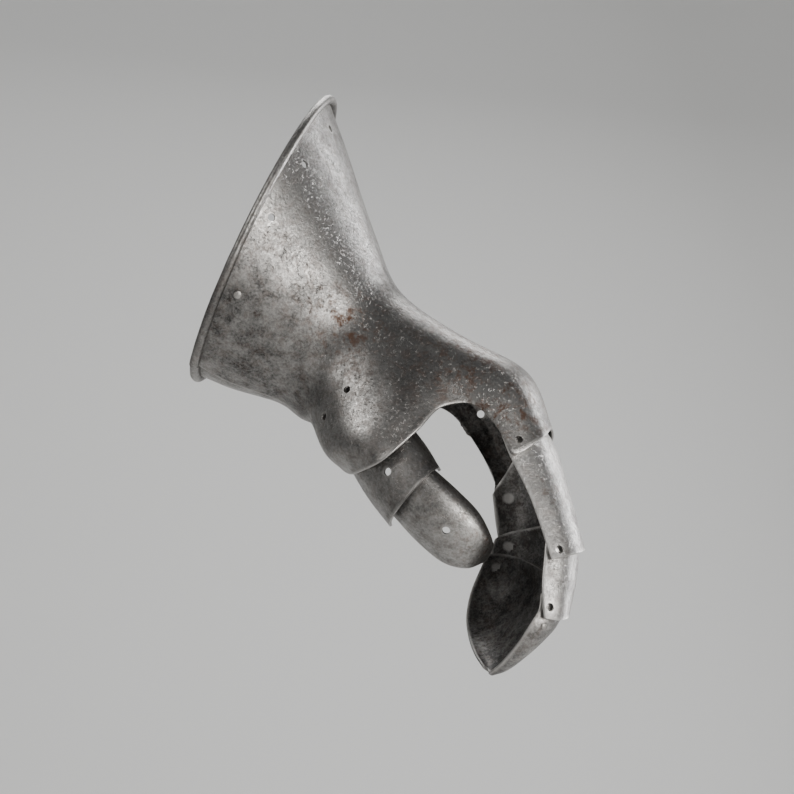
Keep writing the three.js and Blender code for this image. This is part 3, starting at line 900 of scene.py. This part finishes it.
def steel(name, dark, light, rust, rust_amount, pitting, wear):
    """A material of the aged steel group with its own tones."""
    material = bpy.data.materials.new(name)
    material.use_nodes = True
    nodes, link = material.node_tree.nodes, material.node_tree.links.new
    shader = nodes["Principled BSDF"]
    shader.inputs["Metallic"].default_value = 1.0
    look_of = nodes.new("ShaderNodeGroup")
    look_of.node_tree = STEEL
    look_of.inputs["Dark"].default_value = (*dark, 1)
    look_of.inputs["Light"].default_value = (*light, 1)
    look_of.inputs["Rust"].default_value = (*rust, 1)
    look_of.inputs["Rust amount"].default_value = rust_amount
    look_of.inputs["Pitting"].default_value = pitting
    look_of.inputs["Wear"].default_value = wear
    link(look_of.outputs["Color"], shader.inputs["Base Color"])
    link(look_of.outputs["Roughness"], shader.inputs["Roughness"])
    link(look_of.outputs["Normal"], shader.inputs["Normal"])
    return material


RUST = (0.11, 0.062, 0.042)
dark_steel = steel("dark steel", (0.045, 0.044, 0.043), (0.46, 0.445, 0.425), RUST, 0.75, 0.9, 0.7)
# painted highlight: a lighter copy of the same steel, for the finger lames that catch the light
bright_steel = steel("lit lighter steel", (0.1, 0.096, 0.092), (0.7, 0.68, 0.655), RUST, 0.6, 0.8, 0.8)
rivet_steel = steel("rivet steel", (0.12, 0.115, 0.11), (0.5, 0.48, 0.45), RUST, 0.3, 0.5, 0.4)
print("materials:", [m.name for m in (dark_steel, bright_steel, rivet_steel)])

# %% [markdown]
# Each new mesh now gets its steel and is tied to the body it moves with. It also stands in for
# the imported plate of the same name, so that only the finer one is seen.

# %% Dress the model
PIECES = {  # packed plate: body, material, slot
    # the finger lames take the lighter copy of the steel, painted brighter for the light they catch
    "finger_lame_1": ("finger_plate_1", bright_steel, "bright_steel"),
    "finger_lame_2": ("finger_plate_2", bright_steel, "bright_steel"),
    "finger_tip_plate": ("finger_plate_3", dark_steel, "dark_steel"),
    "thumb_lame": ("hand", dark_steel, "dark_steel"),
    "thumb_tip_plate": ("hand", dark_steel, "dark_steel"),
}


def dress(thing, material, body):
    """Gives a piece its steel and its body."""
    thing.data.materials.clear()
    thing.data.materials.append(material)
    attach(thing, body)


dress(hand_plate, dark_steel, "hand")
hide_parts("hand_plate")
dress(rolled_rim, dark_steel, "hand")
dress(lapped_seam, dark_steel, "hand")
for name, (body, material, slot) in PIECES.items():
    dress(plates[name], material, body)
    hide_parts(name)
heads = rivet_tree(rivet_steel)
for body, nodes in {"hand": ["cuff_rivet", "seam_rivet"], "finger_plate_3": ["tip_rivet"]}.items():
    rivets = place_rivets(body, heads)
    dress(rivets, rivet_steel, body)
    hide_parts(*nodes)
print("pieces dressed:", len(PIECES) + 5)

# %% [markdown]
# Old steel looks best in soft light from a few large sources, with darker gaps between them for
# the plates to reflect. The backdrop is plain and pale, and rolls up from the floor in one sweep.

# %% Backdrop and light
FLOOR_HEIGHT = -0.75
BACKDROP_DISTANCE = 1.6
BACKDROP_HALF_WIDTH = 4.0
BACKDROP_BEND = 0.8
LIGHTS = {  # place, width, height, power and warmth of each soft box
    "key": ((0.95, -1.45, -0.4), 0.5, 0.5, 22, (1.0, 0.985, 0.96)),
    "left": ((-1.4, -1.0, 0.8), 0.6, 0.6, 12, (1.0, 0.99, 0.97)),
    "side": ((1.2, 0.5, 0.25), 0.35, 1.2, 16, (0.97, 0.98, 1.0)),
    "top": ((0.2, 0.7, 1.3), 0.9, 0.5, 16, (1.0, 1.0, 1.0)),
}


def build_backdrop():
    """Floor and wall as one bent sheet."""
    profile = [(-3.0, FLOOR_HEIGHT), (BACKDROP_DISTANCE - BACKDROP_BEND, FLOOR_HEIGHT)]
    for k in range(1, 13):
        turn = math.pi / 2 * k / 12
        profile.append((
            BACKDROP_DISTANCE - BACKDROP_BEND + BACKDROP_BEND * math.sin(turn),
            FLOOR_HEIGHT + BACKDROP_BEND * (1 - math.cos(turn)),
        ))
    profile.append((BACKDROP_DISTANCE, 3.0))
    vertices = [(x, y, z) for y, z in profile for x in (-BACKDROP_HALF_WIDTH, BACKDROP_HALF_WIDTH)]
    faces = [(2 * i, 2 * i + 1, 2 * i + 3, 2 * i + 2) for i in range(len(profile) - 1)]
    mesh = bpy.data.meshes.new("backdrop")
    mesh.from_pydata(vertices, [], faces)
    mesh.polygons.foreach_set("use_smooth", [True] * len(faces))
    thing = bpy.data.objects.new("backdrop", mesh)
    bpy.context.scene.collection.objects.link(thing)
    paper = bpy.data.materials.new("backdrop paper")
    paper.use_nodes = True
    paper.node_tree.nodes["Principled BSDF"].inputs["Base Color"].default_value = (0.78, 0.78, 0.77, 1)
    paper.node_tree.nodes["Principled BSDF"].inputs["Roughness"].default_value = 0.9
    mesh.materials.append(paper)
    return thing


build_backdrop()
for name, (place, width, height, power, colour) in LIGHTS.items():
    data = bpy.data.lights.new(name, "AREA")
    data.shape, data.size, data.size_y, data.energy, data.color = "RECTANGLE", width, height, power, colour
    lamp = bpy.data.objects.new(name, data)
    lamp.location = place
    lamp.rotation_euler = (aim_point() - Vector(place)).to_track_quat("-Z", "Y").to_euler()
    bpy.context.scene.collection.objects.link(lamp)
world = bpy.data.worlds.new("studio")
world.use_nodes = True
world.node_tree.nodes["Background"].inputs["Color"].default_value = (0.9, 0.92, 0.95, 1)
world.node_tree.nodes["Background"].inputs["Strength"].default_value = 0.14
bpy.context.scene.world = world
bpy.context.scene.view_settings.view_transform = "AgX"
print("lights:", list(LIGHTS))
